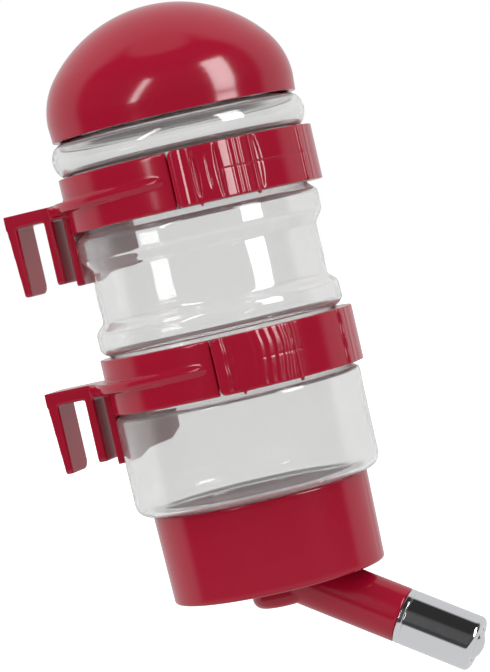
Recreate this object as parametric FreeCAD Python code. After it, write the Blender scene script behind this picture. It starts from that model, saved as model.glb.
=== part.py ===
"""Cage-hung drinking bottle with a screwed dome cap, a screwed base cap with a ball-valve nozzle, and two hook clamps.

Everything is drawn about the bottle's own axis, with height 0 at the base cap's rim, and save() then moves it into the
part's frame: the origin is the middle of the upper hook's seat, +Z is up, the cage is at -X and the nozzle points to +X.
"""

import FreeCAD, Part

import math
import os

from FreeCAD import Placement, Rotation, Vector

# Driving dimensions, in millimetres and degrees, heights from the base cap's rim.
WALL = 1.2  # blown bottle wall
BODY_R = 37.9  # bottle body outside
GROOVE_R = 34.7  # clamp groove floor
GROOVE_GAP = 0.3  # groove beyond each edge of a clamp band
NECK_R = 29.6  # both necks outside
THREAD_R = 30.8  # crest of the neck threads
THREAD_LEAD = 4.0
THREAD_TURNS = 1.5
LOWER_MOUTH_Z = 17.5
UPPER_MOUTH_Z = 160.0
SHOULDER_Z = 27.9  # underside of the bottle's body

CAP_BORE_R = 31.15  # both caps, clear of the thread crests
CAP_WALL = 2.0
DOME_RIM_Z = 144.0
DOME_WIDE_Z = 149.0
DOME_TOP_Z = 178.6
DOME_R, DOME_SHOULDER_R = 37.9, 22.0
BASE_TOP_Z = 27.7
DECK_Z = 14.0  # underside of the base cap's deck
DECK_T = 2.0

SEAL_IN_R, SEAL_OUT_R = 26.2, 30.9
FACE_GAP = 0.05  # between faces that only rest on each other

NOZZLE_ANGLE = 31.7  # below horizontal
NOZZLE_Z = 4.6  # where the nozzle's centre line meets the bottle's axis
NOZZLE_R = 8.5
STUB_R, STUB_Z = 9.5, -7.4
WATERWAY_R = 4.2
SLEEVE_START, SLEEVE_END = 41.9, 66.0  # along the nozzle
SLEEVE_WALL = 0.8
LIP_ROUND_R = 2.8
MOUTH_R = 5.2
SPIGOT_END = 51.0
SPRING_SEAT = 45.0
BALL_R = 6.35
SPRING_R, SPRING_WIRE_R = 4.3, 0.28

BAND_H = 16.8
BAND_IN_R, BAND_OUT_R = 35.1, 38.4
CLAMP_Z = {"upper": 116.2, "lower": 60.4}  # lower edges of the two bands
STRAP_IN_R, STRAP_OUT_R, STRAP_RIB_R = 35.2, 39.7, 40.45
STRAP_NEAR, STRAP_FAR = -78.0, 72.0  # ends of the strap's body round the axis
BAND_NEAR = -78.5
HINGE_ANGLE, HINGE_R = 78.5, 38.2
KNUCKLE_R, PIN_R = 3.0, 1.2
PLATE_TOP, PLATE_T, PLATE_W = 10.0, 4.2, 14.0  # hook plate: height above the band's lower edge, thickness, width
SLOT_IN, SLOT_OUT = 46.5, 55.5  # faces of the hook slot, from the bottle's axis
HOOK_OUT = 59.2
PRONG_T = 2.8
OUTER_PRONG_DROP, INNER_PRONG_DROP = 14.8, 14.0

SEAT_X = -(SLOT_IN + SLOT_OUT) / 2  # the part's origin, seen from the bottle's axis
SEAT_Z = CLAMP_Z["upper"] + PLATE_TOP - PLATE_T


def xz(r, z):
    return Vector(r, 0, z)


def outline(*steps):
    """Wire in the XZ plane: a step of two numbers is a line to them, one of four an arc through the first two."""
    here = xz(*steps[0])
    edges = []
    for step in steps[1:]:
        end = xz(*step[-2:])
        curve = Part.Arc(here, xz(*step[:2]), end) if len(step) == 4 else Part.LineSegment(here, end)
        edges.append(curve.toShape())
        here = end
    return Part.Wire(edges)


def turned(*steps, angle=360.0):
    """Solid turned about Z from a closed outline."""
    face = Part.Face(outline(*steps, steps[0]))
    return face.revolve(Vector(0, 0, 0), Vector(0, 0, 1), angle)


def filled(side):
    """Solid turned about Z from an open outline that runs between two levels."""
    ends = sorted((v.Point for v in side.OrderedVertexes), key=lambda point: point.z)
    low, high = ends[0], ends[-1]
    closing = outline((low.x, low.z), (0, low.z), (0, high.z), (high.x, high.z))
    loop = Part.Wire(Part.sortEdges(side.Edges + closing.Edges)[0])
    solid = Part.Face(loop).revolve(Vector(0, 0, 0), Vector(0, 0, 1), 360)
    return solid if solid.Volume > 0 else solid.reversed()


def ring(r_in, r_out, z0, z1):
    return turned((r_in, z0), (r_out, z0), (r_out, z1), (r_in, z1))


def sector(r_in, r_out, start, end, z0, z1):
    """Piece of a ring between two angles."""
    piece = turned((r_in, z0), (r_out, z0), (r_out, z1), (r_in, z1), angle=end - start)
    piece.rotate(Vector(0, 0, 0), Vector(0, 0, 1), start)
    return piece


def polar(r, angle, z=0.0):
    a = math.radians(angle)
    return Vector(r * math.cos(a), r * math.sin(a), z)


def box(x0, x1, y0, y1, z0, z1):
    return Part.makeBox(x1 - x0, y1 - y0, z1 - z0, Vector(x0, y0, z0))


def joined(first, *others):
    return first.fuse(list(others)).removeSplitter()


def along_nozzle(shape):
    """Moves a shape drawn along Z onto the nozzle's centre line."""
    turn = Rotation(Vector(0, 1, 0), 90.0 + NOZZLE_ANGLE)
    shape.Placement = Placement(Vector(0, 0, NOZZLE_Z), turn).multiply(shape.Placement)
    return shape


def coil(radius, wire_r, z0, z1, turns):
    """Round wire wound about Z."""
    helix = Part.makeHelix((z1 - z0) / turns, z1 - z0, radius)
    section = Part.Wire(Part.makeCircle(wire_r, Vector(radius, 0, 0), Vector(0, 1, 0)))
    wire = Part.Wire(helix.Edges).makePipeShell([section], True, True)
    wire.translate(Vector(0, 0, z0))
    return wire


def neck_thread(z0):
    """Helical ridge on a neck, rooted in its wall."""
    root = NECK_R - WALL / 3
    half = 1.1
    helix = Part.makeHelix(THREAD_LEAD, THREAD_LEAD * THREAD_TURNS, root)
    section = outline((root, -half), (THREAD_R, -half / 2.5), (THREAD_R, half / 2.5), (root, half), (root, -half))
    ridge = Part.Wire(helix.Edges).makePipeShell([section], True, True)
    ridge.translate(Vector(0, 0, z0))
    return ridge


def bottle():
    """Blown bottle: one wall of even thickness along its outline, and a thread on each neck."""
    low0 = CLAMP_Z["lower"] - GROOVE_GAP
    low1 = CLAMP_Z["lower"] + BAND_H + GROOVE_GAP
    up0 = CLAMP_Z["upper"] - GROOVE_GAP
    up1 = CLAMP_Z["upper"] + BAND_H + GROOVE_GAP
    outside = outline(
        (NECK_R, LOWER_MOUTH_Z),
        (NECK_R, SHOULDER_Z),
        (30.4, SHOULDER_Z),
        (35.7, 30.1, BODY_R, 35.4),
        (BODY_R, low0 - 1.6),
        (GROOVE_R, low0),
        (GROOVE_R, low1),
        (37.6, 82.3, 36.3, 86.5),
        (34.85, 88.6),
        (34.85, 103.0),
        (35.15, 104.3, 36.1, 105.7),
        (37.3, 110.3, 35.6, 115.2),
        (GROOVE_R, up0),
        (GROOVE_R, up1),
        (37.0, up1 + 0.2),
        (38.9, 139.0, 37.5, 142.4),
        (35.6, 143.4, 31.4, 144.2),
        (NECK_R, 144.3),
        (NECK_R, UPPER_MOUTH_Z),
    )
    inside = outside.makeOffset2D(WALL, 2, False, True)
    shell = filled(outside).cut(filled(inside))
    turns_h = THREAD_LEAD * THREAD_TURNS
    return joined(shell, neck_thread(LOWER_MOUTH_Z + 2.0), neck_thread(UPPER_MOUTH_Z - 2.0 - turns_h))


def dome_solid(inset, rim_z):
    """Dome filled to its axis, inset from the cap's outer face: a slightly flared skirt, then a shoulder arc of
    DOME_SHOULDER_R that runs on into a crown arc centred on the axis."""
    height = DOME_TOP_Z - DOME_WIDE_Z
    shoulder = xz(DOME_R - DOME_SHOULDER_R, DOME_WIDE_Z)
    crown_r = (DOME_R**2 + height**2 - 2 * DOME_R * DOME_SHOULDER_R) / (2 * (height - DOME_SHOULDER_R))
    crown = xz(0, DOME_TOP_Z - crown_r)
    meet = math.atan2(shoulder.z - crown.z, shoulder.x)
    arc = []
    for centre, radius, start, end in (
        (shoulder, DOME_SHOULDER_R - inset, 0.0, meet), (crown, crown_r - inset, meet, math.pi / 2),
    ):
        points = [centre + xz(radius * math.cos(a), radius * math.sin(a)) for a in ((start + end) / 2, end)]
        arc.append((points[0].x, points[0].z, max(points[1].x, 0.0), points[1].z))
    return turned((0, rim_z), (DOME_R - 0.3 - inset, rim_z), (DOME_R - inset, DOME_WIDE_Z), *arc)


def dome_cap():
    """Filling cap: thin dome, a threaded skirt that screws over the neck, and a rib that presses on the seal."""
    outer = dome_solid(0, DOME_RIM_Z)
    inner = dome_solid(CAP_WALL, DOME_RIM_Z - 1)
    skirt = ring(CAP_BORE_R, CAP_BORE_R + 1.8, DOME_RIM_Z + 3.0, DOME_TOP_Z).common(outer)
    seal_rib = ring(27.0, 29.2, UPPER_MOUTH_Z + 1.5 + 2 * FACE_GAP, DOME_TOP_Z).common(outer)
    return joined(outer.cut(inner), skirt, seal_rib)


def base_cap():
    """Base cap: screw skirt above a deck with a centre hole, and a hollow foot below it."""
    deck_top = DECK_Z + DECK_T
    return turned(
        (6.6, DECK_Z), (30.5, DECK_Z), (30.6, 0.0), (31.1, 0.0), (32.16, 0.44, 32.6, 1.5),
        (33.2, BASE_TOP_Z - 0.5), (32.7, BASE_TOP_Z), (CAP_BORE_R, BASE_TOP_Z), (CAP_BORE_R, deck_top), (6.6, deck_top),
    )


def cap_seal(z0):
    return ring(SEAL_IN_R, SEAL_OUT_R, z0, z0 + 1.5 - FACE_GAP)


def nozzle_elbow():
    """Stub and angled tube in one moulding, with a threaded spigot up through the deck and a spigot for the sleeve."""
    stub = turned((0, STUB_Z), (STUB_R - 3.0, STUB_Z), (STUB_R - 0.88, STUB_Z + 0.88, STUB_R, STUB_Z + 3.0),
                  (STUB_R, DECK_Z - 1.4), (0, DECK_Z - 1.4))
    screw = Part.makeCylinder(6.4, 9.0, Vector(0, 0, DECK_Z - 1.5))
    tube = along_nozzle(Part.makeCylinder(NOZZLE_R, SLEEVE_START - 0.2))
    spigot_r = NOZZLE_R - SLEEVE_WALL - 0.08
    spigot = along_nozzle(Part.makeCylinder(spigot_r, SPIGOT_END))
    ring_groove = along_nozzle(ring(6.55, NOZZLE_R, 46.1, 47.5))
    body = joined(stub, screw, tube, spigot).cut(ring_groove)
    for way in (
        Part.makeCylinder(WATERWAY_R, 30.0, Vector(0, 0, NOZZLE_Z)),
        Part.makeSphere(WATERWAY_R, Vector(0, 0, NOZZLE_Z)),
        along_nozzle(Part.makeCylinder(WATERWAY_R, SPIGOT_END + 1)),
        along_nozzle(Part.makeCylinder(5.7, 10.0, Vector(0, 0, SPRING_SEAT))),
    ):
        body = body.cut(way)
    return body


def elbow_nut():
    """Hexagonal nut, 19 mm across flats."""
    z0 = DECK_Z + DECK_T + FACE_GAP
    corners = [polar(9.5 / math.cos(math.radians(30)), 60 * i, z0) for i in range(7)]
    nut = Part.Face(Part.makePolygon(corners)).extrude(Vector(0, 0, 4.9))
    return nut.cut(Part.makeCylinder(6.45, 10.0, Vector(0, 0, z0 - 1)))


def nozzle_sleeve():
    """Drawn metal tube whose end is rolled in to keep the ball."""
    out, bore = NOZZLE_R, NOZZLE_R - SLEEVE_WALL
    turn_r, turn_z = out - LIP_ROUND_R, SLEEVE_END - LIP_ROUND_R
    in_r = LIP_ROUND_R - SLEEVE_WALL
    c = math.cos(math.radians(45))
    return along_nozzle(turned(
        (bore, SLEEVE_START), (out, SLEEVE_START), (out, turn_z),
        (turn_r + LIP_ROUND_R * c, turn_z + LIP_ROUND_R * c, turn_r, SLEEVE_END),
        (MOUTH_R, SLEEVE_END), (MOUTH_R, SLEEVE_END - SLEEVE_WALL), (turn_r, SLEEVE_END - SLEEVE_WALL),
        (turn_r + in_r * c, turn_z + in_r * c, bore, turn_z),
    ))


def ball_centre():
    """Along the nozzle, where the ball rests just behind the lip's inner edge."""
    return SLEEVE_END - SLEEVE_WALL - math.sqrt(BALL_R**2 - MOUTH_R**2) - FACE_GAP


def nozzle_ball():
    return along_nozzle(Part.makeSphere(BALL_R, Vector(0, 0, ball_centre())))


def sleeve_seal():
    return along_nozzle(Part.makeTorus(7.1, 0.53, Vector(0, 0, 46.8)))


def spring_retainer():
    """Round plate with water holes that the spring stands on."""
    z0 = SPRING_SEAT + FACE_GAP
    plate = Part.makeCylinder(5.65, 1.5, Vector(0, 0, z0))
    for i in range(6):
        plate = plate.cut(Part.makeCylinder(0.8, 4.0, polar(2.3, 60 * i, z0 - 1)))
    return along_nozzle(plate)


def ball_spring():
    """Ends just short of the plate below it and of the ball's back."""
    ball_back = ball_centre() - math.sqrt(BALL_R**2 - SPRING_R**2)
    start = SPRING_SEAT + FACE_GAP + 1.5 + SPRING_WIRE_R + 0.1
    return along_nozzle(coil(SPRING_R, SPRING_WIRE_R, start, ball_back - SPRING_WIRE_R - 0.25, 5.5))


def hook_bracket(z):
    """Plate with two prongs: the cage's wires go in the slot between them."""
    top, under = z + PLATE_TOP, z + PLATE_TOP - PLATE_T
    half = PLATE_W / 2
    plate = box(-HOOK_OUT, -36.6, -half, half, under, top)
    low = z - OUTER_PRONG_DROP
    outer_side = outline((-HOOK_OUT, top), (-SLOT_OUT, top), (-SLOT_OUT, low), (-SLOT_OUT - 2.3, low), (-HOOK_OUT, top))
    outer = Part.Face(outer_side).extrude(Vector(0, PLATE_W, 0))
    outer.translate(Vector(0, -half, 0))
    inner = box(-SLOT_IN, -SLOT_IN + PRONG_T, -half, half, z - INNER_PRONG_DROP, top)
    outer, inner = (round_tip(prong, half) for prong in (outer, inner))
    return plate, outer, inner


def round_tip(prong, half):
    """Rounds a prong's lower corner at +Y by 3 mm, and the one at -Y by 1 mm."""
    foot = prong.BoundBox.ZMin
    for side, radius in ((half, 3.0), (-half, 1.0)):
        edges = [e for e in prong.Edges
                 if abs(e.BoundBox.ZMax - foot) < 0.01 and abs(e.BoundBox.YMin - side) < 0.01
                 and e.BoundBox.YLength < 0.01]
        prong = prong.makeFillet(radius, edges)
    return prong


def saddle(z):
    """Curved plate that hangs from the band beside the hook and backs it against the cage."""
    plate = sector(38.2, 40.8, 141.0, 190.0, z - 16.0, z + PLATE_TOP - PLATE_T + 0.5)
    corners = [(-14, 8), (-14, -7.5), (-11.6, -9.8), (-7.6, -13.0), (4, -13.8), (10, -15.6), (24, -15.6), (24, 8)]
    shape = Part.Face(Part.makePolygon([Vector(0, y, z + h) for y, h in corners + corners[:1]]))
    cutter = shape.extrude(Vector(60, 0, 0))
    cutter.rotate(Vector(0, 0, 0), Vector(0, 0, 1), 158.0)
    return plate.common(cutter)


def flange(z):
    """Rib round the back of the band at the plate's level, widest at the hook and dying out at the sides."""
    widest = 42.0
    offset = (widest**2 - BAND_OUT_R**2) / (2 * widest)
    disc = Part.makeCylinder(widest - offset, 3.4, Vector(-offset, 0, z + PLATE_TOP - 3.4))
    return disc.cut(Part.makeCylinder(36.6, 30.0, Vector(0, 0, z - 5))).cut(box(0, 50, -50, 50, z - 5, z + 25))


def knuckles(z):
    """Heights of the frame's two hinge knuckles."""
    return (z, z + 5.5), (z + 11.3, z + BAND_H)


def clamp_frame(z):
    """Back half of a clamp: band, hook bracket, saddle, flange, two hinge knuckles and the strap's latch tongue."""
    hinge = polar(HINGE_R, HINGE_ANGLE)
    band = sector(BAND_IN_R, BAND_OUT_R, HINGE_ANGLE, 360.0 + BAND_NEAR, z, z + BAND_H)
    tongue = sector(BAND_IN_R, 36.6, 360.0 + BAND_NEAR - 1.0, 292.0, z + 2.0, z + BAND_H - 2.0)
    catch = Part.makeCylinder(0.9, BAND_H - 6.0, polar(36.05, -74.0, z + 3.0))
    ears = [Part.makeCylinder(KNUCKLE_R, z1 - z0, hinge + Vector(0, 0, z0)) for z0, z1 in knuckles(z)]
    body = joined(band, tongue, catch, *hook_bracket(z), saddle(z), flange(z), *ears)
    body = body.cut(Part.makeCylinder(KNUCKLE_R + 0.3, 5.8, hinge + Vector(0, 0, z + 5.5)))
    body = body.cut(Part.makeCylinder(BAND_IN_R, 2 * BAND_H, Vector(0, 0, z - BAND_H / 2)))
    return body.cut(Part.makeCylinder(PIN_R + 0.02, BAND_H + 2, hinge + Vector(0, 0, z - 1)))


def clamp_strap(z):
    """Front half of a clamp: thick ribbed strap with a pocket over the tongue and one hinge knuckle."""
    hinge = polar(HINGE_R, HINGE_ANGLE)
    body = sector(STRAP_IN_R, STRAP_OUT_R, -66.5, STRAP_FAR, z, z + BAND_H)
    grip = sector(36.9, STRAP_RIB_R, STRAP_NEAR, -66.0, z, z + BAND_H)
    strip = sector(39.0, STRAP_RIB_R, -12.0, -1.0, z, z + BAND_H)
    ribs = [Part.makeCylinder(1.35, BAND_H, polar(39.1, angle, z)) for angle in (-62.3, -56.5, -52.0, -48.0, -41.2)]
    web = sector(36.6, 39.6, STRAP_FAR - 1.0, HINGE_ANGLE, z + 5.8, z + 11.0)
    ear = Part.makeCylinder(KNUCKLE_R, 5.2, hinge + Vector(0, 0, z + 5.8))
    strap = joined(body, grip, strip, *ribs, web, ear)
    strap = strap.cut(Part.makeCylinder(1.3, BAND_H, polar(36.1, -74.0, z)))
    strap = strap.cut(Part.makeCylinder(PIN_R + 0.05, BAND_H, hinge + Vector(0, 0, z)))
    return strap


def hinge_pin(z):
    return Part.makeCylinder(PIN_R, BAND_H - 0.6, polar(HINGE_R, HINGE_ANGLE, z + 0.3))


def save(node, shape):
    """Moves a sub-part into the part's frame and writes its STEP file."""
    shape = shape.copy()
    shape.translate(Vector(-SEAT_X, 0, -SEAT_Z))
    solids = shape.Solids
    box_ = shape.BoundBox
    print(f"{node:20s} solids {len(solids)} valid {shape.isValid()} volume {shape.Volume:9.1f} "
          f"x {box_.XMin:.2f}..{box_.XMax:.2f} y {box_.YMin:.2f}..{box_.YMax:.2f} z {box_.ZMin:.2f}..{box_.ZMax:.2f}")
    (solids[0] if len(solids) == 1 else shape).exportStep(f"parts/{node}.step")


def main():
    os.makedirs("parts", exist_ok=True)
    save("bottle", bottle())
    save("dome_cap", dome_cap())
    save("dome_seal", cap_seal(UPPER_MOUTH_Z + FACE_GAP))
    save("base_cap", base_cap())
    save("base_seal", cap_seal(DECK_Z + DECK_T + FACE_GAP / 2))
    save("nozzle_elbow", nozzle_elbow())
    save("elbow_seal", ring(6.5, 9.3, DECK_Z - 1.4 + FACE_GAP / 2, DECK_Z - FACE_GAP / 2))
    save("elbow_nut", elbow_nut())
    save("nozzle_sleeve", nozzle_sleeve())
    save("sleeve_seal", sleeve_seal())
    save("nozzle_ball", nozzle_ball())
    save("ball_spring", ball_spring())
    save("spring_retainer", spring_retainer())
    for level, z in CLAMP_Z.items():
        save(f"{level}_clamp_frame", clamp_frame(z))
        save(f"{level}_clamp_strap", clamp_strap(z))
        save(f"{level}_hinge_pin", hinge_pin(z))


main()
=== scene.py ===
"""Looks of a cage-hung drinking bottle, laid out as a Blender add-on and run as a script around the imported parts.

Shapes are worked out about the bottle's own axis in millimetres, with height 0 at the base cap's rim, and placed() then
moves them into the frame, in metres. Angles round the axis are in degrees from +X.
"""

import math

import bmesh
import bpy
import numpy as np
from bpy.props import FloatProperty, FloatVectorProperty, IntProperty, PointerProperty
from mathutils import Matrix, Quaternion, Vector


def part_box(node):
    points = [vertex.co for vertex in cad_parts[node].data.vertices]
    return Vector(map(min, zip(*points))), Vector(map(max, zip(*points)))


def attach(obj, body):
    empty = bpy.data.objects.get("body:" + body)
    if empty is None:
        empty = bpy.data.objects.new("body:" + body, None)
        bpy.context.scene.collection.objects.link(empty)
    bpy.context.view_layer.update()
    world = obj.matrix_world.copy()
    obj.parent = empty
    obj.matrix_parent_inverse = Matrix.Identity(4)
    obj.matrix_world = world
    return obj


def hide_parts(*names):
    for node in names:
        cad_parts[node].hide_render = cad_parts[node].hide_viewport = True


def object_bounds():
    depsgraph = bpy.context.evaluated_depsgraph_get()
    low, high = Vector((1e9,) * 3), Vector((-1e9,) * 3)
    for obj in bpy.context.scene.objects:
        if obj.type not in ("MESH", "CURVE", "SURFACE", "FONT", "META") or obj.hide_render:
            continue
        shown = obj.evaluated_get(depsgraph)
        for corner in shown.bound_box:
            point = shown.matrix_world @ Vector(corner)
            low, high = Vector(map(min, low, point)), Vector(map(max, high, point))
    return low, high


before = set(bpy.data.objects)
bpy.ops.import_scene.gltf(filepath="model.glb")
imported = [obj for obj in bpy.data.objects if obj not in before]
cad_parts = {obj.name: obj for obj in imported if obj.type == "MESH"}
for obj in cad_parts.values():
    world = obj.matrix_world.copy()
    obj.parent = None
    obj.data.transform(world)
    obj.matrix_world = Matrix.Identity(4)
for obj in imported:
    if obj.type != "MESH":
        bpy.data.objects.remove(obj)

bl_info = {
    "name": "Cage Drinking Bottle",
    "version": (1, 0, 0),
    "blender": (4, 5, 0),
    "location": "View3D > Sidebar > Drinking Bottle",
    "description": "Builds the detailed surfaces, finishes and studio of a cage drinking bottle",
    "category": "Object",
}

MM = 0.001
CAD_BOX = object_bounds()
BASE_LOW, BASE_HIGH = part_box("base_cap")
AXIS = Vector(((BASE_LOW.x + BASE_HIGH.x) / 2, 0.0, BASE_LOW.z))  # foot of the bottle's axis, at the base cap's rim


def height_of(node, end):
    """Height in millimetres above the base rim of a CAD node's low (0) or high (1) side."""
    return (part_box(node)[end].z - AXIS.z) / MM


LEVELS = ("upper", "lower")
BAND_Z = {level: height_of(f"{level}_clamp_strap", 0) for level in LEVELS}  # lower edges of the clamp bands
BAND_H = height_of("upper_clamp_strap", 1) - BAND_Z["upper"]
BASE_TOP = height_of("base_cap", 1)
DOME_RIM, DOME_TOP = height_of("dome_cap", 0), height_of("dome_cap", 1)
MOUTH_LOW, MOUTH_HIGH = height_of("bottle", 0), height_of("bottle", 1)
HOOK_OUT = (AXIS.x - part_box("upper_clamp_frame")[0].x) / MM
HOOK_TIP = BAND_Z["upper"] - height_of("upper_clamp_frame", 0)
PIN = (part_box("upper_hinge_pin")[0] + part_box("upper_hinge_pin")[1]) / 2
HINGE_X, HINGE_Y = (PIN.x - AXIS.x) / MM, PIN.y / MM
HINGE_ANGLE = math.degrees(math.atan2(HINGE_Y, HINGE_X))
BALL = (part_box("nozzle_ball")[0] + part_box("nozzle_ball")[1]) / 2
BALL_R = (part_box("nozzle_ball")[1].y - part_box("nozzle_ball")[0].y) / 2 / MM

NECK_R, BODY_R, GROOVE_R = 29.6, 37.9, 34.7
NOZZLE_DROP = math.radians(31.7)
NOZZLE_Z = 4.6  # where the nozzle's centre line meets the bottle's axis
NOZZLE_R = 8.5
SLEEVE_START, SLEEVE_END = 41.9, 66.0
SLEEVE_WALL = 0.8
SPIGOT_R = 7.6  # the elbow's end, inside the sleeve
SPRING_SEAT = 45.0  # along the nozzle, where the spring's plate stands

THREAD_LEAD, THREAD_TURNS = 4.0, 1.5
BAND_IN, BAND_OUT = 35.1, 38.4  # radii of a clamp frame's band
STRAP_START, STRAP_END = -78.0, 72.0  # angles of a strap's latch end and hinge end
KNUCKLE_R = 3.0
FRAME_KNUCKLES = ((0.0, 5.5), (11.3, BAND_H))  # heights on the band
STRAP_KNUCKLE = (5.8, 11.0)

SOFTBOX_DISTANCE = 1.6
SOFTBOX_ELEVATION = math.radians(19.5)


# ---------------------------------------------------------------- settings


class BottleSizes(bpy.types.PropertyGroup):
    wall: FloatProperty(name="Wall", description="Thickness of the blown wall", default=0.0012, unit="LENGTH")
    thread: FloatProperty(name="Thread", description="Height of the neck threads", default=0.0012, unit="LENGTH")
    ripple: FloatProperty(
        name="Ripple", description="Unevenness of the blown wall", default=0.00006, precision=5, unit="LENGTH")
    seam: FloatProperty(
        name="Seam", description="Height of the mould seams", default=0.00012, precision=5, unit="LENGTH")


class ClampSizes(bpy.types.PropertyGroup):
    cell: FloatProperty(
        name="Cell", description="Cell size of the clamps' joined surface", default=0.00034, precision=5, unit="LENGTH")
    softening: IntProperty(name="Softening", description="Passes that round the clamps' corners", default=5, min=0)
    bead: FloatProperty(name="Bead", description="Height of the grip's beads", default=0.00075, unit="LENGTH")


class Finishes(bpy.types.PropertyGroup):
    red: FloatVectorProperty(
        name="Red", description="Crimson moulding colour", default=(0.37, 0.004, 0.025), size=3, subtype="COLOR")
    clear: FloatVectorProperty(
        name="Clear", description="Tint of the clear wall", default=(0.92, 0.92, 0.917), size=3, subtype="COLOR")
    steel: FloatVectorProperty(
        name="Steel", description="Polished steel colour", default=(0.82, 0.825, 0.85), size=3, subtype="COLOR")
    seal: FloatVectorProperty(
        name="Seal", description="Silicone seal colour", default=(0.78, 0.78, 0.76), size=3, subtype="COLOR")
    nylon: FloatVectorProperty(
        name="Nylon", description="Nut and spring plate colour", default=(0.8, 0.8, 0.78), size=3, subtype="COLOR")
    clearness: FloatProperty(
        name="Clearness", description="Share of light that passes one face of the wall", default=0.90,
        min=0.0, max=1.0, subtype="FACTOR")


class StageSettings(bpy.types.PropertyGroup):
    azimuth: FloatProperty(name="Azimuth", description="Camera's way round the object", default=math.radians(19.0),
                           subtype="ANGLE")
    roll: FloatProperty(name="Roll", description="Camera's turn about its own line of sight",
                        default=math.radians(-12.9), subtype="ANGLE")
    distance: FloatProperty(name="Distance", description="From the bottle's axis", default=0.86, unit="LENGTH")
    height: FloatProperty(name="Height", description="Above the base rim", default=0.105, unit="LENGTH")
    aim_side: FloatProperty(name="Aim Side", description="Aim, right of the axis", default=0.0061, unit="LENGTH")
    aim_height: FloatProperty(name="Aim Height", description="Aim, above the base rim", default=0.0747, unit="LENGTH")
    lens: FloatProperty(name="Lens", description="Focal length in millimetres", default=152.0)
    right_box: FloatProperty(name="Right Softbox", description="Watts", default=26.0)
    left_strip: FloatProperty(name="Left Strip", description="Watts", default=5.6)
    floor_drop: FloatProperty(name="Floor Drop", description="Floor below the nozzle", default=0.35, unit="LENGTH")


# ---------------------------------------------------------------- surfaces


def placed(points):
    """Points in millimetres about the bottle's axis, moved into the frame in metres."""
    return points * MM + np.array(AXIS)


def arc_points(corner, before, after, radius, turn_step):
    """Arc of a radius tangent to the two sides that meet at a corner, from the first side to the second."""
    u, v = before - corner, after - corner
    lu, lv = np.linalg.norm(u), np.linalg.norm(v)
    u, v = u / lu, v / lv
    half = math.acos(max(-1.0, min(1.0, float(u @ v)))) / 2
    if radius <= 0 or half > math.pi / 2 - 1e-3:
        return corner[None, :]
    back = min(radius / math.tan(half), 0.499 * lu, 0.499 * lv)
    radius = back * math.tan(half)
    middle = (u + v) / np.linalg.norm(u + v)
    centre = corner + middle * math.hypot(back, radius)
    a, b = corner + u * back - centre, corner + v * back - centre
    turn = math.pi - 2 * half
    t = np.linspace(0.0, 1.0, max(2, int(math.degrees(turn) / turn_step) + 2))[:, None]
    swing = np.sin((1 - t) * turn) / math.sin(turn) * a + np.sin(t * turn) / math.sin(turn) * b
    return centre + swing


def outline(corners, closed=False, spacing=2.0, turn_step=9.0):
    """Outline through corners (across, up, radius): each corner becomes a tangent arc of its radius, and each straight
    run is cut into equal lengths of about the spacing."""
    c = np.array([corner[:2] for corner in corners], float)
    n = len(c)
    arcs = []
    for i, corner in enumerate(corners):
        inner = closed or 0 < i < n - 1
        arcs.append(arc_points(c[i], c[i - 1], c[(i + 1) % n], corner[2], turn_step) if inner else c[i][None, :])
    runs = []
    for i, arc in enumerate(arcs):
        runs.append(arc)
        if i < n - 1 or closed:
            a, b = arc[-1], arcs[(i + 1) % n][0]
            cuts = int(np.linalg.norm(b - a) / spacing)
            runs.append(a + (b - a) * np.linspace(0, 1, cuts + 2)[1:-1, None])
    line = np.concatenate(runs)
    ahead = np.roll(line, -1, axis=0) if closed else np.vstack([line[1:], line[-1:] + 1.0])
    return line[np.linalg.norm(line - ahead, axis=1) > 1e-6]


def offset(line, distance):
    """Outline moved square to itself, to the left of its direction."""
    along = np.gradient(line, axis=0)
    along /= np.linalg.norm(along, axis=1)[:, None]
    return line + distance * np.column_stack([-along[:, 1], along[:, 0]])


def turned(line, steps):
    """Closed outline (r, z) carried round the bottle's axis: x = r cos a, y = r sin a."""
    a = np.linspace(0, 2 * math.pi, steps, endpoint=False)[:, None]
    r, z = line[None, :, 0], line[None, :, 1]
    return np.stack([r * np.cos(a), r * np.sin(a), z + 0 * a], axis=-1)


def along_nozzle(grid):
    """Grid drawn about the vertical axis, tipped so that its height runs down the nozzle's centre line."""
    x, y, z = grid[..., 0], grid[..., 1], grid[..., 2]
    c, s = math.cos(NOZZLE_DROP), math.sin(NOZZLE_DROP)
    return np.stack([x * s + z * c, y, NOZZLE_Z + x * c - z * s], axis=-1)


def about_hinge(grid):
    """Grid drawn about the vertical axis, moved to the clamps' hinge line."""
    return grid + np.array([HINGE_X, HINGE_Y, 0.0])


def ring_shell(grid):
    """Faces of a grid that closes on itself both ways."""
    m, n = grid.shape[:2]
    i, j = np.meshgrid(np.arange(m), np.arange(n), indexing="ij")
    k, l = (i + 1) % m, (j + 1) % n
    return grid.reshape(-1, 3), np.stack([i * n + j, k * n + j, k * n + l, i * n + l], axis=-1).reshape(-1, 4)


def loft_shell(loops):
    """Faces of a row of closed loops, with each end closed to the middle of its loop."""
    ends = loops[[0, -1]].mean(axis=1, keepdims=True) + 0 * loops[[0, -1]]
    rows = np.concatenate([ends[:1], loops, ends[1:]])
    m, n = rows.shape[:2]
    i, j = np.meshgrid(np.arange(m - 1), np.arange(n), indexing="ij")
    l = (j + 1) % n
    quads = np.stack([i * n + j, (i + 1) * n + j, (i + 1) * n + l, i * n + l], axis=-1)
    return rows.reshape(-1, 3), quads.reshape(-1, 4)


def outward(points, quads):
    """Faces in the order that gives the shell a positive volume, which is the sum of the tetrahedra that its triangles
    make with one point."""
    p = points - points.mean(axis=0)
    a, b, c, d = (p[quads[:, k]] for k in range(4))
    volume = np.einsum("ij,ij->", np.cross(a, b), c) + np.einsum("ij,ij->", np.cross(a, c), d)
    return quads if volume > 0 else quads[:, ::-1]


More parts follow.
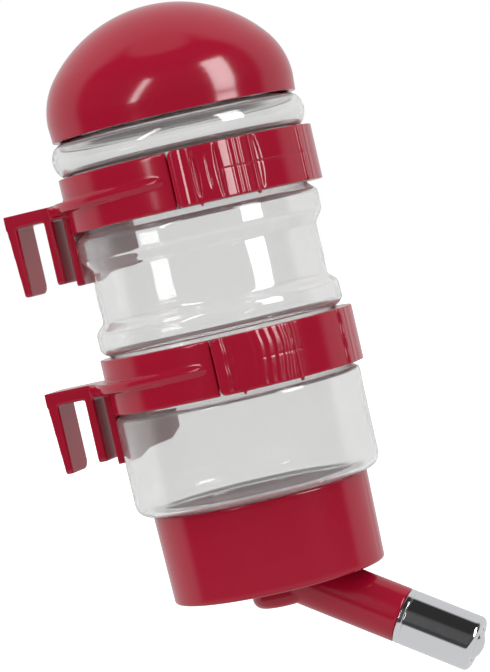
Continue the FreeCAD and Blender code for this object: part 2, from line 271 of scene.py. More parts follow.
def piece(name, shells, material, body, nodes):
    """One object from closed shells, smooth shaded, riding on its body in place of its CAD nodes."""
    points, quads, start = [], [], 0
    for shell_points, shell_quads in shells:
        points.append(shell_points)
        quads.append(outward(shell_points, shell_quads) + start)
        start += len(shell_points)
    points, quads = placed(np.concatenate(points)), np.concatenate(quads)
    mesh = bpy.data.meshes.new(name)
    mesh.vertices.add(len(points))
    mesh.vertices.foreach_set("co", points.astype(np.float32).ravel())
    mesh.loops.add(quads.size)
    mesh.loops.foreach_set("vertex_index", quads.astype(np.int32).ravel())
    mesh.polygons.add(len(quads))
    mesh.polygons.foreach_set("loop_start", np.arange(0, quads.size, 4, dtype=np.int32))
    mesh.update(calc_edges=True)
    close_poles(mesh)
    mesh.shade_smooth()
    mesh.materials.append(material)
    obj = bpy.data.objects.new(name, mesh)
    bpy.context.scene.collection.objects.link(obj)
    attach(obj, body)
    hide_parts(*nodes)
    return obj


def close_poles(mesh):
    """Merges the points that a pole or a closed end repeats."""
    work = bmesh.new()
    work.from_mesh(mesh)
    bmesh.ops.remove_doubles(work, verts=work.verts, dist=1e-7)
    work.to_mesh(mesh)
    work.free()


def fuse(obj, cell, passes):
    """Turns overlapping shells into one moulded surface: a voxel remesh, then passes that round its corners."""
    remesh = obj.modifiers.new("one surface", "REMESH")
    remesh.mode = "VOXEL"
    remesh.voxel_size = cell
    remesh.use_smooth_shade = True
    soften = obj.modifiers.new("moulded corners", "SMOOTH")
    soften.factor = 0.5
    soften.iterations = passes
    bpy.context.view_layer.update()
    made = bpy.data.meshes.new_from_object(obj.evaluated_get(bpy.context.evaluated_depsgraph_get()))
    if len(made.polygons) == 0:
        raise RuntimeError(f"{obj.name} has no surface after its remesh")
    obj.modifiers.clear()
    made.name = obj.data.name
    obj.data = made
    made.shade_smooth()


# ---------------------------------------------------------------- bottle and caps


def bottle_outline():
    """Outer side of the bottle from its lower mouth to its upper one: body, two clamp grooves and three bulges."""
    low0, low1 = BAND_Z["lower"] - 0.3, BAND_Z["lower"] + BAND_H + 0.3
    up0, up1 = BAND_Z["upper"] - 0.3, BAND_Z["upper"] + BAND_H + 0.3
    shoulder = BASE_TOP + 0.2
    bulge_r, bulge_x, bulge_z = 6.5, 32.44, 138.33
    bulge = [(bulge_x + bulge_r * math.cos(a), bulge_z + bulge_r * math.sin(a), 0)
             for a in np.radians(np.linspace(-45, 38, 15))]
    return [
        (NECK_R, MOUTH_LOW, 0), (NECK_R, shoulder, 0.8), (BODY_R, shoulder, 7.5), (BODY_R, low0 - 1.6, 1.5),
        (GROOVE_R, low0 + 0.1, 0.8), (GROOVE_R, low1, 0.8), (37.65, 79.3, 3.2), (37.65, 85.3, 3.0),
        (34.85, 88.0, 2.0), (34.85, 103.6, 1.6), (37.3, 107.3, 3.0), (37.3, 113.4, 2.4),
        (GROOVE_R, up0, 0.6), (GROOVE_R, up1, 0.3), (36.6, up1 + 0.1, 0.6), *bulge, (36.2, 143.3, 1.0),
        (31.4, 144.2, 2.0), (NECK_R, 144.3, 0.3), (NECK_R, MOUTH_HIGH, 0),
    ]


def thread_rise(angle, z, start, turns, lead, height):
    """Height of a screw thread on a neck: a rounded ridge along a helix, fading out over its ends."""
    along = angle / (2 * math.pi)
    rise = np.zeros(np.broadcast(angle, z).shape)
    for lap in range(math.ceil(turns)):
        place = start + lead * (along + lap)
        ends = np.clip(np.minimum(along + lap, turns - along - lap) / 0.12, 0, 1)
        rise += np.exp(-((z - place) / 0.75) ** 4) * ends
    return height * np.clip(rise, 0, 1)


class BOTTLE_OT_clear_bottle(bpy.types.Operator):
    """Blown bottle: one even wall along its outline, threads on both necks, two faint mould seams"""

    bl_idname = "drinking_bottle.clear_bottle"
    bl_label = "Clear Bottle"

    def execute(self, context):
        sizes = context.scene.bottle_sizes
        outer = outline(bottle_outline(), spacing=1.0, turn_step=11.0)
        inner = offset(outer, sizes.wall / MM)[::-1]
        grid = turned(np.concatenate([outer, inner]), 168)
        a = np.arctan2(grid[..., 1], grid[..., 0]) % (2 * math.pi)
        r, z = np.hypot(grid[..., 0], grid[..., 1]), grid[..., 2]
        neck = (np.arange(grid.shape[1]) < len(outer))[None, :]
        height = sizes.thread / MM
        low = thread_rise(a, z, MOUTH_LOW + 2.0, THREAD_TURNS, THREAD_LEAD, height) * (z < BASE_TOP - 0.6)
        high = thread_rise(a, z, MOUTH_HIGH - 8.0, THREAD_TURNS, THREAD_LEAD, height) * (z > DOME_RIM + 2.0)
        body = np.clip((z - BASE_TOP) / 6, 0, 1) * np.clip((DOME_RIM - z) / 6, 0, 1)
        ripple = np.sin(3 * a + 0.11 * z) + 0.6 * np.sin(5 * a - 0.23 * z + 1.3) + 0.4 * np.sin(2 * a + 0.37 * z + 4.0)
        seams = sum(np.exp(-(((a - side + math.pi) % (2 * math.pi) - math.pi) / 0.007) ** 2)
                    for side in (math.radians(109), math.radians(289)))
        grown = r + neck * (low + high) + body * (sizes.ripple / MM * ripple + neck * sizes.seam / MM * seams)
        grid = np.stack([grown * np.cos(a), grown * np.sin(a), z], axis=-1)
        piece("bottle_shell", [ring_shell(grid)], clear_plastic(context), "bottle", ["bottle"])
        return {"FINISHED"}


def dome_outline(inset, low):
    """Side of the dome from a level up to its crown: a flared skirt, then two arcs tangent to each other."""
    wide_z, wide_r, shoulder_r = DOME_RIM + 5.0, BODY_R, 22.0
    height = DOME_TOP - wide_z
    crown_r = (wide_r**2 + height**2 - 2 * wide_r * shoulder_r) / (2 * (height - shoulder_r))
    shoulder_x, crown_z = wide_r - shoulder_r, DOME_TOP - crown_r
    meet = math.atan2(wide_z - crown_z, shoulder_x)
    a = np.linspace(0, meet, 26)
    b = np.linspace(meet, math.pi / 2, 40)[1:]
    skirt = np.array([[wide_r - 0.3 - inset, low], [wide_r - 0.15 - inset, (low + wide_z) / 2]])
    shoulder = np.column_stack([shoulder_x + (shoulder_r - inset) * np.cos(a),
                                wide_z + (shoulder_r - inset) * np.sin(a)])
    crown = np.column_stack([(crown_r - inset) * np.cos(b), crown_z + (crown_r - inset) * np.sin(b)])
    crown[-1, 0] = 0.0
    return np.concatenate([skirt, shoulder, crown])


class BOTTLE_OT_dome_cap(bpy.types.Operator):
    """Domed filling cap: thin shell with a rounded rim, a threaded skirt inside it and a rib for the seal"""

    bl_idname = "drinking_bottle.dome_cap"
    bl_label = "Dome Cap"

    def execute(self, context):
        outer = dome_outline(0.0, DOME_RIM + 0.45)
        inner = dome_outline(2.0, DOME_RIM + 0.45)[::-1]
        rim = outline([(35.6, DOME_RIM + 0.45, 0), (35.6, DOME_RIM, 0.4), (37.6, DOME_RIM, 0.4),
                       (37.6, DOME_RIM + 0.45, 0)], spacing=0.5, turn_step=15.0)[1:-1]
        shell = turned(np.concatenate([rim, outer, inner]), 192)
        skirt = screw_skirt(DOME_RIM + 3.0, 161.0)
        rib_in, rib_out, rib_z = 27.0, 29.2, 161.8
        rib = turned(outline([(rib_in, rib_z, 0.4), (rib_out, rib_z, 0.4), (rib_out, 165.0, 0), (rib_in, 166.5, 0)],
                             closed=True), 96)
        piece("dome_cap_shell", [ring_shell(shell), ring_shell(skirt), ring_shell(rib)], red_plastic(context), "dome",
              ["dome_cap"])
        return {"FINISHED"}


def screw_skirt(low, high):
    """Ring that screws over a neck, with a shallow thread cut round its bore."""
    grid = turned(outline([(31.3, low, 0.4), (32.9, low, 0.4), (32.9, high, 0), (31.3, high + 1.2, 0)], closed=True,
                          spacing=0.6), 120)
    a, r = np.arctan2(grid[..., 1], grid[..., 0]), np.hypot(grid[..., 0], grid[..., 1])
    cut = 0.12 * np.sin(2 * math.pi * (grid[..., 2] / THREAD_LEAD) - a) * (r < 32.0)
    grown = (r + cut) / r
    return grid * np.stack([grown, grown, np.ones_like(grown)], axis=-1)


class BOTTLE_OT_base_cap(bpy.types.Operator):
    """Base cap: smooth skirt with rounded edges above a deck with a centre hole, and a hollow foot below the deck"""

    bl_idname = "drinking_bottle.base_cap"
    bl_label = "Base Cap"

    def execute(self, context):
        deck = 14.0
        corners = [
            (6.6, deck, 0.3), (30.5, deck, 1.2), (30.6, 0.0, 0.3), (32.62, 0.0, 1.5), (33.2, BASE_TOP, 0.7),
            (31.15, BASE_TOP, 0.3), (31.15, deck + 2.0, 0.6), (6.6, deck + 2.0, 0.3),
        ]
        grid = turned(outline(corners, closed=True, spacing=1.0), 192)
        a, r, z = np.arctan2(grid[..., 1], grid[..., 0]), np.hypot(grid[..., 0], grid[..., 1]), grid[..., 2]
        seam = context.scene.bottle_sizes.seam / MM
        line = sum(np.exp(-(((a - side + math.pi) % (2 * math.pi) - math.pi) / 0.016) ** 2) for side in (0.0, math.pi))
        outside = (r > 32.0) * np.clip((z - 1.0) / 1.5, 0, 1) * np.clip((BASE_TOP - 1.0 - z) / 1.5, 0, 1)
        grown = (r - seam * line * outside) / r
        grid = grid * np.stack([grown, grown, np.ones_like(grown)], axis=-1)
        piece("base_cap_shell", [ring_shell(grid)], red_plastic(context), "base", ["base_cap"])
        return {"FINISHED"}


# ---------------------------------------------------------------- nozzle


class BOTTLE_OT_nozzle(bpy.types.Operator):
    """Nozzle: moulded elbow, drawn steel sleeve with a rolled lip, and the ball that closes it"""

    bl_idname = "drinking_bottle.nozzle"
    bl_label = "Nozzle"

    def execute(self, context):
        stub_r, stub_low, stub_high = 9.5, -7.4, 12.6
        screw_r, screw_low, screw_high = 6.4, 12.4, 21.4
        stub = turned(outline([(0, stub_low, 0), (stub_r, stub_low, 3.0), (stub_r, stub_high, 0.3), (0, stub_high, 0)],
                              spacing=0.8), 96)
        screw = turned(outline([(0, screw_low, 0), (screw_r, screw_low, 0), (screw_r, screw_high, 0.6),
                                (0, screw_high, 0)], spacing=0.8), 72)
        tube = along_nozzle(turned(outline([
            (0, 0, 0), (NOZZLE_R, 0, 0), (NOZZLE_R, SLEEVE_START - 0.2, 0.3), (SPIGOT_R, SLEEVE_START - 0.2, 0),
            (SPIGOT_R, 51.0, 0.4), (5.7, 51.0, 0.2), (5.7, SPRING_SEAT, 0), (0, SPRING_SEAT, 0),
        ], spacing=0.8), 96))
        elbow = piece("nozzle_elbow_body", [ring_shell(stub), ring_shell(screw), ring_shell(tube)],
                      red_plastic(context), "base", ["nozzle_elbow"])
        fuse(elbow, 0.0003, 4)
        bore, lip = NOZZLE_R - SLEEVE_WALL, SLEEVE_END - SLEEVE_WALL
        sleeve = along_nozzle(turned(outline([
            (bore, SLEEVE_START, 0.15), (NOZZLE_R, SLEEVE_START, 0.25), (NOZZLE_R, SLEEVE_START + 1.35, 0.08),
            (NOZZLE_R - 0.14, SLEEVE_START + 1.5, 0.08), (NOZZLE_R - 0.14, SLEEVE_START + 1.8, 0.08),
            (NOZZLE_R, SLEEVE_START + 1.95, 0.08), (NOZZLE_R, SLEEVE_END, 2.8), (5.2, SLEEVE_END, 0.3),
            (5.2, lip, 0.25), (bore, lip, 2.0),
        ], closed=True, spacing=0.8, turn_step=7.0), 144))
        piece("steel_sleeve", [ring_shell(sleeve)], drawn_steel(context), "base", ["nozzle_sleeve"])
        turn = np.linspace(0, math.pi, 61)
        ball = turned(np.column_stack([BALL_R * np.sin(turn), -BALL_R * np.cos(turn)]), 120)
        ball = ball + np.array(BALL - AXIS) / MM
        piece("steel_ball", [ring_shell(ball)], ball_steel(context), "ball", ["nozzle_ball"])
        return {"FINISHED"}


# ---------------------------------------------------------------- clamps


def arc_slab(start, end, inner, outer, low, high, rows=12, step=0.5):
    """Curved slab as a row of loops round the axis: at each angle, up its outer side and down its inner side. Each of
    inner, outer, low and high is a number or a function of angle; outer may also take the share of the height."""
    a = np.linspace(start, end, max(2, int(abs(end - start) / step) + 1))[:, None]
    t = np.linspace(0, 1, rows)[None, :]
    z0, z1 = (level(a) if callable(level) else level + 0 * a for level in (low, high))
    r_out = outer(a, t) if callable(outer) else outer + 0 * a * t
    r_in = inner(a, t) if callable(inner) else inner + 0 * a * t
    r = np.concatenate([r_out, r_in[:, ::-1]], axis=1)
    z = z0 + (z1 - z0) * np.concatenate([t, t[:, ::-1]], axis=1)
    turn = np.radians(a)
    return np.stack([r * np.cos(turn), r * np.sin(turn), z], axis=-1)


def knuckle(bore, low, high):
    """Hinge knuckle: a tube round the pin."""
    return about_hinge(turned(outline([(bore, low, 0), (KNUCKLE_R, low, 0.3), (KNUCKLE_R, high, 0.3), (bore, high, 0)],
                                      closed=True, spacing=0.7), 48))


def slab_up(x0, x1, y0, y1, z):
    """Rectangle loops stacked up the heights z, whose sides may change with height."""
    x0, x1, y0, y1 = (side + 0 * z for side in (x0, x1, y0, y1))
    x, y = np.stack([x0, x1, x1, x0], axis=1), np.stack([y0, y0, y1, y1], axis=1)
    return np.stack([x, y, z[:, None] + 0 * x], axis=-1)


def prong(outer_x, inner_x, tip, top):
    """Hook prong: its outer face leans from the tip's place to the top's, and its tip is round, more so at +Y."""
    tip_height = 3.0
    rounded = tip + tip_height * (1 - np.cos(np.linspace(0, math.pi / 2, 14)))
    z = np.unique(np.concatenate([rounded, np.linspace(tip + tip_height, top, 9)]))
    share = (z - tip) / (top - tip)
    x0 = outer_x[0] + (outer_x[1] - outer_x[0]) * share
    d = z - tip

    def edge(radius):
        return 7.0 - radius + np.sqrt(np.clip(radius**2 - np.clip(radius - d, 0, None) ** 2, 1e-6, None))

    return slab_up(x0, inner_x, -edge(1.0), edge(3.0), z)


def frame_loops(z):
    """Shells of one clamp frame: band, rib round the back, hook plate and prongs, saddle, tongue and knuckles."""
    top = z + 10.0

    def rib_side(a, t):
        swing = np.radians(a - 180.0)
        far = 42.0  # the rib's radius behind the hook
        reach = far - (far**2 - BAND_OUT**2) / (2 * far)
        middle = far - reach
        circle = middle * np.cos(swing) + np.sqrt(reach**2 - (middle * np.sin(swing)) ** 2)
        flare = 2.6 * np.exp(-(np.clip(np.abs(a - 180.0) - 9.0, 0, None) / 5.0) ** 2)
        least = np.where(a > 180.0, 39.05, 37.0) - 0.9 * np.clip((a - 274.0) / 5.0, 0, 1) ** 2
        return np.maximum(circle, least) + flare - 0.4 * (2 * t - 1) ** 2

    def rib_low(a):
        return top - 3.4 + 1.2 * np.clip((a - 205.0) / 74.0, 0, 1)

    def saddle_low(a):
        side = 39.5 * np.sin(np.radians(a - 158.0))
        return z + np.interp(side, [-14, -11.6, -7.6, 4, 10, 24], [-7.5, -9.8, -13.0, -13.8, -15.6, -15.6])

    loops = [
        arc_slab(HINGE_ANGLE + 6, 281.5, BAND_IN, BAND_OUT, z, z + BAND_H),
        *(arc_slab(HINGE_ANGLE + 2.4, HINGE_ANGLE + 7, BAND_IN, BAND_OUT, z + low, z + high, rows=5)
          for low, high in FRAME_KNUCKLES),
        arc_slab(100, 279, 36.0, rib_side, rib_low, top),
        slab_up(-HOOK_OUT, -37.0, -7.0, 7.0, np.linspace(top - 4.2, top, 4)),
        prong((-57.8, -HOOK_OUT), -55.5, z - HOOK_TIP, top - 0.2),
        prong((-46.5, -46.5), -43.7, z - 14.0, top - 0.2),
        arc_slab(141, 190, 38.2, 40.8, saddle_low, z + 6.3),
        arc_slab(279, 292, BAND_IN, 36.6, z + 2.0, z + BAND_H - 2.0, rows=8),
    ]
    shells = [loft_shell(part) for part in loops]
    for low, high in FRAME_KNUCKLES:
        shells.append(ring_shell(knuckle(1.22, z + low, z + high)))
    return shells


def bump(a, middle, half, height, power=2.0):
    """Rounded ridge across the angle, of a half width in degrees."""
    return height * np.exp(-np.abs((a - middle) / half) ** power)


def step_up(a, edge, soft):
    """Rises from 0 to 1 across an edge, over twice the softness: 3s^2 - 2s^3."""
    share = np.clip((a - edge) / (2 * soft) + 0.5, 0, 1)
    return share**2 * (3 - 2 * share)


def raised(a, start, end, soft=0.35):
    """1 between two angles and 0 beyond them."""
    return step_up(a, start, soft) * step_up(-a, -end, soft)


def lens(a, t, middle, half, low, high):
    """Lens-shaped hollow, upright: full depth on its middle line, as wide as its half width at half height."""
    share = np.clip((t - low) / (high - low), 0, 1)
    reach = half * 4 * share * (1 - share) + 1e-6
    return np.clip(1 - ((a - middle) / reach) ** 2, 0, 1) ** 2


def grip_side(level, bead):
    """Outer side of a strap as a function of angle and share of height. Angles are counted from the strap's near end,
    which is at -7: an end bead, hollows and a tilted flat panel, a sharp step, a plain stretch and a raised strip. The
    upper strap's hollows are lens-shaped, and the lower strap's run its full height and waver."""

    def side(a, t):
        p = a + 71.0
        r = 39.7 + 0 * p * t
        if level == "upper":
            r = r + 0.4 * bead * raised(p, 1.6, 13.0, 0.5)
            for middle, half, low, high, depth in (
                (3.45, 1.7, 0.04, 0.96, 0.8), (9.0, 1.1, 0.13, 0.87, 0.4), (13.3, 1.9, 0.0, 1.0, 0.4),
                (31.9, 2.6, 0.0, 1.0, 0.4),
            ):
                r = r - depth * lens(p, t, middle, half, low, high)
            r = r + (0.85 * bead - 0.075 * (p - 14.1)) * raised(p, 14.1, 19.3)
            for start, end in ((19.4, 22.0), (22.0, 24.4), (24.4, 29.0)):
                r = r + 0.12 * (p - start) * raised(p, start, end, 0.2)
        else:
            p = p + 0.6 * np.sin(6.0 * t + 1.0) * raised(p, 0.0, 27.0, 3.0) + 0.12 * np.sin(15.0 * t)
            for middle, half, depth in ((-1.0, 0.8, 0.25), (5.9, 2.2, 0.3), (10.8, 0.8, 0.16), (15.0, 1.0, 0.2),
                                        (18.8, 0.9, 0.2), (22.4, 0.8, 0.16), (25.6, 0.8, 0.18)):
                r = r - depth * bump(p, middle, half, 1.0)
            r = r + 0.45 * bead * raised(p, 0.5, 28.0, 0.6)
        r = r + bead * raised(p, -12.0, -1.6, 0.5) * (1 - 0.05 * (p + 5.0) ** 2)
        r = r + 0.8 * bead * bump(p, 29.2, 0.6, 1.0, 4) - 0.2 * bump(p, 46.0, 9.0, 1.0, 4)
        r = r + (1.15 - 0.11 * (p - 59.2)) * bead * raised(p, 59.2, 69.6) - 0.25 * bump(p, 64.6, 0.45, 1.0)
        near = np.clip((a - STRAP_START) / 3.0, 0, 1)
        return r - 1.1 * (1 - np.sqrt(np.clip(1 - (1 - near) ** 2, 0, 1)))

    return side


def mould_line(obj, height, start, end, depth):
    """Cuts the faint line a mould leaves across a strap's front at a height, between two angles."""
    count = len(obj.data.vertices)
    points = np.empty(count * 3, np.float32)
    obj.data.vertices.foreach_get("co", points)
    points = points.reshape(-1, 3).astype(float)
    about = (points - np.array(AXIS)) / MM
    a, r = np.degrees(np.arctan2(about[:, 1], about[:, 0])), np.hypot(about[:, 0], about[:, 1])
    cut = depth * np.exp(-((about[:, 2] - height) / 0.24) ** 2) * raised(a, start, end, 0.5) * (r > 38.5)
    points[:, :2] -= (about[:, :2] / r[:, None] * cut[:, None]) * MM
    obj.data.vertices.foreach_set("co", points.astype(np.float32).ravel())
    obj.data.update()


def strap_shells(level, z, bead):
    """Shells of one strap: ribbed body with a pocket over the tongue, web and knuckle."""

    def inner(a, t):
        return np.where(a < -66.0, 36.9, 35.2) + 0 * t

    def corner(a):
        share = np.clip((a - STRAP_START) / 2.6, 0, 1)
        return 1.8 * (1 - np.sqrt(1 - (1 - share) ** 2))

    web_low, web_high = (z + height for height in STRAP_KNUCKLE)
    loops = [
        arc_slab(STRAP_START, STRAP_END, inner, grip_side(level, bead), lambda a: z + corner(a),
                 lambda a: z + BAND_H - corner(a), rows=48, step=0.25),
        arc_slab(71.0, 76.2, 36.6, 39.6, web_low, web_high, rows=6),
    ]
    for angle in (-67.6, -41.2):
        loops.append(arc_slab(angle - 0.5, angle + 0.5, 38.6, 39.9, z - 0.9, z + 0.5, rows=4, step=0.25))
    return [loft_shell(part) for part in loops] + [ring_shell(knuckle(1.25, web_low, web_high))]


class BOTTLE_OT_clamp_frames(bpy.types.Operator):
    """Clamp frames: the back halves of both clamps, each moulded in one with its hook and saddle"""

    bl_idname = "drinking_bottle.clamp_frames"
    bl_label = "Clamp Frames"

    def execute(self, context):
        sizes = context.scene.clamp_sizes
        for level in LEVELS:
            made = piece(f"{level}_frame_moulding", frame_loops(BAND_Z[level]), red_plastic(context), "clamps",
                         [f"{level}_clamp_frame"])
            fuse(made, sizes.cell, sizes.softening)
        return {"FINISHED"}


class BOTTLE_OT_clamp_straps(bpy.types.Operator):
    """Clamp straps: the ribbed front halves that swing open on their pins"""

    bl_idname = "drinking_bottle.clamp_straps"
    bl_label = "Clamp Straps"

    def execute(self, context):
        sizes = context.scene.clamp_sizes
        for level in LEVELS:
            shells = strap_shells(level, BAND_Z[level], sizes.bead / MM)
            made = piece(f"{level}_strap_moulding", shells, red_plastic(context), f"{level}_strap",
                         [f"{level}_clamp_strap"])
            fuse(made, 0.00028, sizes.softening)
            mould_line(made, BAND_Z[level] + BAND_H / 2, -57.0, -1.0, 0.16 if level == "upper" else 0.04)
        return {"FINISHED"}


# ---------------------------------------------------------------- finishes


def new_group(name, inputs, outputs):
    """Empty shader node group with named sockets, each a name and a kind, and a default for an input."""
    group = bpy.data.node_groups.new(name, "ShaderNodeTree")
    for label, kind, default in inputs:
        socket = group.interface.new_socket(label, in_out="INPUT", socket_type=f"NodeSocket{kind}")
        socket.default_value = default
    for label, kind in outputs:
        group.interface.new_socket(label, in_out="OUTPUT", socket_type=f"NodeSocket{kind}")
    return group, group.nodes.new("NodeGroupInput"), group.nodes.new("NodeGroupOutput")


def math_node(tree, operation, a, b):
    """Maths node whose inputs are numbers or sockets; returns its output."""
    node = tree.nodes.new("ShaderNodeMath")
    node.operation = operation
    for socket, value in zip(node.inputs, (a, b)):
        if isinstance(value, (int, float)):
            socket.default_value = value
        else:
            tree.links.new(value, socket)
    return node.outputs[0]


def noise(tree, coords, scale, detail):
    """Noise texture over the coordinates; returns its factor."""
    node = tree.nodes.new("ShaderNodeTexNoise")
    tree.links.new(coords, node.inputs["Vector"])
    node.inputs["Scale"].default_value = scale
    node.inputs["Detail"].default_value = detail
    return node.outputs["Fac"]


def moulded_surface():
    """Shared group: cloudy colour and gloss of moulded plastic, and the slow waves of its skin as a normal."""
    known = bpy.data.node_groups.get("moulded surface")
    if known:
        return known
    group, ins, outs = new_group(
        "moulded surface",
        [("Colour", "Color", (0.5, 0.5, 0.5, 1)), ("Cloud", "Float", 0.1), ("Roughness", "Float", 0.15),
         ("Uneven Gloss", "Float", 0.05), ("Wave Height", "Float", 0.00001), ("Grain Height", "Float", 0.000002)],
        [("Colour", "Color"), ("Roughness", "Float"), ("Normal", "Vector")],
    )
    coords = group.nodes.new("ShaderNodeTexCoord").outputs["Object"]
    slow = noise(group, coords, 45.0, 2.0)
    fine = noise(group, coords, 900.0, 3.0)
    grain = noise(group, coords, 3500.0, 2.0)
    lift = math_node(group, "MULTIPLY", math_node(group, "SUBTRACT", slow, 0.5), ins.outputs["Cloud"])
    shade = group.nodes.new("ShaderNodeHueSaturation")
    group.links.new(ins.outputs["Colour"], shade.inputs["Color"])
    group.links.new(math_node(group, "ADD", lift, 1.0), shade.inputs["Value"])
    group.links.new(shade.outputs["Color"], outs.inputs["Colour"])
    gloss = math_node(group, "MULTIPLY", math_node(group, "SUBTRACT", fine, 0.5), ins.outputs["Uneven Gloss"])
    group.links.new(math_node(group, "ADD", ins.outputs["Roughness"], gloss), outs.inputs["Roughness"])
    wave = math_node(group, "MULTIPLY", slow, ins.outputs["Wave Height"])
    height = math_node(group, "ADD", wave, math_node(group, "MULTIPLY", grain, ins.outputs["Grain Height"]))
    relief = group.nodes.new("ShaderNodeBump")
    relief.inputs["Distance"].default_value = 1.0
    group.links.new(height, relief.inputs["Height"])
    group.links.new(relief.outputs["Normal"], outs.inputs["Normal"])
    return group


def shaded(name, colour, settings, plain):
    """Principled material fed by the moulded surface group; plain numbers are set on the shader's own sockets."""
    known = bpy.data.materials.get(name)
    if known:
        return known
    material = bpy.data.materials.new(name)
    material.use_nodes = True
    tree = material.node_tree
    shader = tree.nodes["Principled BSDF"]
    skin = tree.nodes.new("ShaderNodeGroup")
    skin.node_tree = moulded_surface()
    skin.inputs["Colour"].default_value = (*colour, 1)
    for label, value in settings.items():
        skin.inputs[label].default_value = value
    tree.links.new(skin.outputs["Colour"], shader.inputs["Base Color"])
    tree.links.new(skin.outputs["Roughness"], shader.inputs["Roughness"])
    tree.links.new(skin.outputs["Normal"], shader.inputs["Normal"])
    for label, value in plain.items():
        shader.inputs[label].default_value = value
    return material


def red_plastic(context):
    return shaded("glossy crimson plastic", context.scene.finishes.red,
                  {"Cloud": 0.12, "Roughness": 0.14, "Uneven Gloss": 0.06, "Wave Height": 0.00003,
                   "Grain Height": 0.0000015}, {"IOR": 1.49})


def clear_plastic(context):
    finishes = context.scene.finishes
    return shaded("clear blown plastic", finishes.clear,
                  {"Cloud": 0.04, "Roughness": 0.03, "Uneven Gloss": 0.02, "Wave Height": 0.00005,
                   "Grain Height": 0.0000005}, {"IOR": 1.5, "Transmission Weight": finishes.clearness})


def drawn_steel(context):
    return shaded("drawn bright steel", context.scene.finishes.steel,
                  {"Cloud": 0.05, "Roughness": 0.08, "Uneven Gloss": 0.06, "Wave Height": 0.000006,
                   "Grain Height": 0.000001}, {"Metallic": 1.0})


def ball_steel(context):
    return shaded("polished ball steel", context.scene.finishes.steel,
                  {"Cloud": 0.03, "Roughness": 0.05, "Uneven Gloss": 0.03, "Wave Height": 0.0,
                   "Grain Height": 0.0000005}, {"Metallic": 1.0})


def wire_steel(context):
    return shaded("spring and pin steel", context.scene.finishes.steel,
                  {"Cloud": 0.1, "Roughness": 0.28, "Uneven Gloss": 0.12, "Wave Height": 0.0,
                   "Grain Height": 0.000003}, {"Metallic": 1.0})


def silicone(context):
    return shaded("silicone seal", context.scene.finishes.seal,
                  {"Cloud": 0.1, "Roughness": 0.5, "Uneven Gloss": 0.1, "Wave Height": 0.0,
                   "Grain Height": 0.000005}, {"IOR": 1.42})


def satin_nylon(context):
    return shaded("satin nylon", context.scene.finishes.nylon,
                  {"Cloud": 0.08, "Roughness": 0.36, "Uneven Gloss": 0.1, "Wave Height": 0.0,
                   "Grain Height": 0.000004}, {"IOR": 1.53})


class BOTTLE_OT_inner_fittings(bpy.types.Operator):
    """Finishes on the seals, nut, spring, its plate and the hinge pins, whose machined shapes stay as they are"""

    bl_idname = "drinking_bottle.inner_fittings"
    bl_label = "Inner Fittings"

    def execute(self, context):
        finishes = {silicone: ["dome_seal", "base_seal", "elbow_seal", "sleeve_seal"],
                    satin_nylon: ["elbow_nut", "spring_retainer"],
                    wire_steel: ["ball_spring", "upper_hinge_pin", "lower_hinge_pin"]}
        for finish, nodes in finishes.items():
            for node in nodes:
                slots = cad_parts[node].data.materials
                slots.clear()
                slots.append(finish(context))
        return {"FINISHED"}


# ---------------------------------------------------------------- studio


def mixed(tree, factor, plain, chosen):
    """Grey that is plain where the factor is 0 and chosen where it is 1; each is a number or a socket."""
    kept = math_node(tree, "MULTIPLY", math_node(tree, "SUBTRACT", 1.0, factor), plain)
    return math_node(tree, "ADD", kept, math_node(tree, "MULTIPLY", factor, chosen))


def by_height(tree, up, stops):
    """Level set by a ray's climb (the sine of its elevation), through stops of climb and level."""
    node = tree.nodes.new("ShaderNodeValToRGB")
    share = math_node(tree, "ADD", math_node(tree, "MULTIPLY", up, 0.5), 0.5)
    tree.links.new(share, node.inputs["Fac"])
    elements = node.color_ramp.elements
    while len(elements) < len(stops):
        elements.new(0.5)
    for element, (climb, _) in zip(elements, stops):  # all positions first, because a move puts the elements in order
        element.position = (climb + 1) / 2
    for element, (_, level) in zip(elements, stops):
        element.color = (level, level, level, 1)
    return node.outputs["Color"]


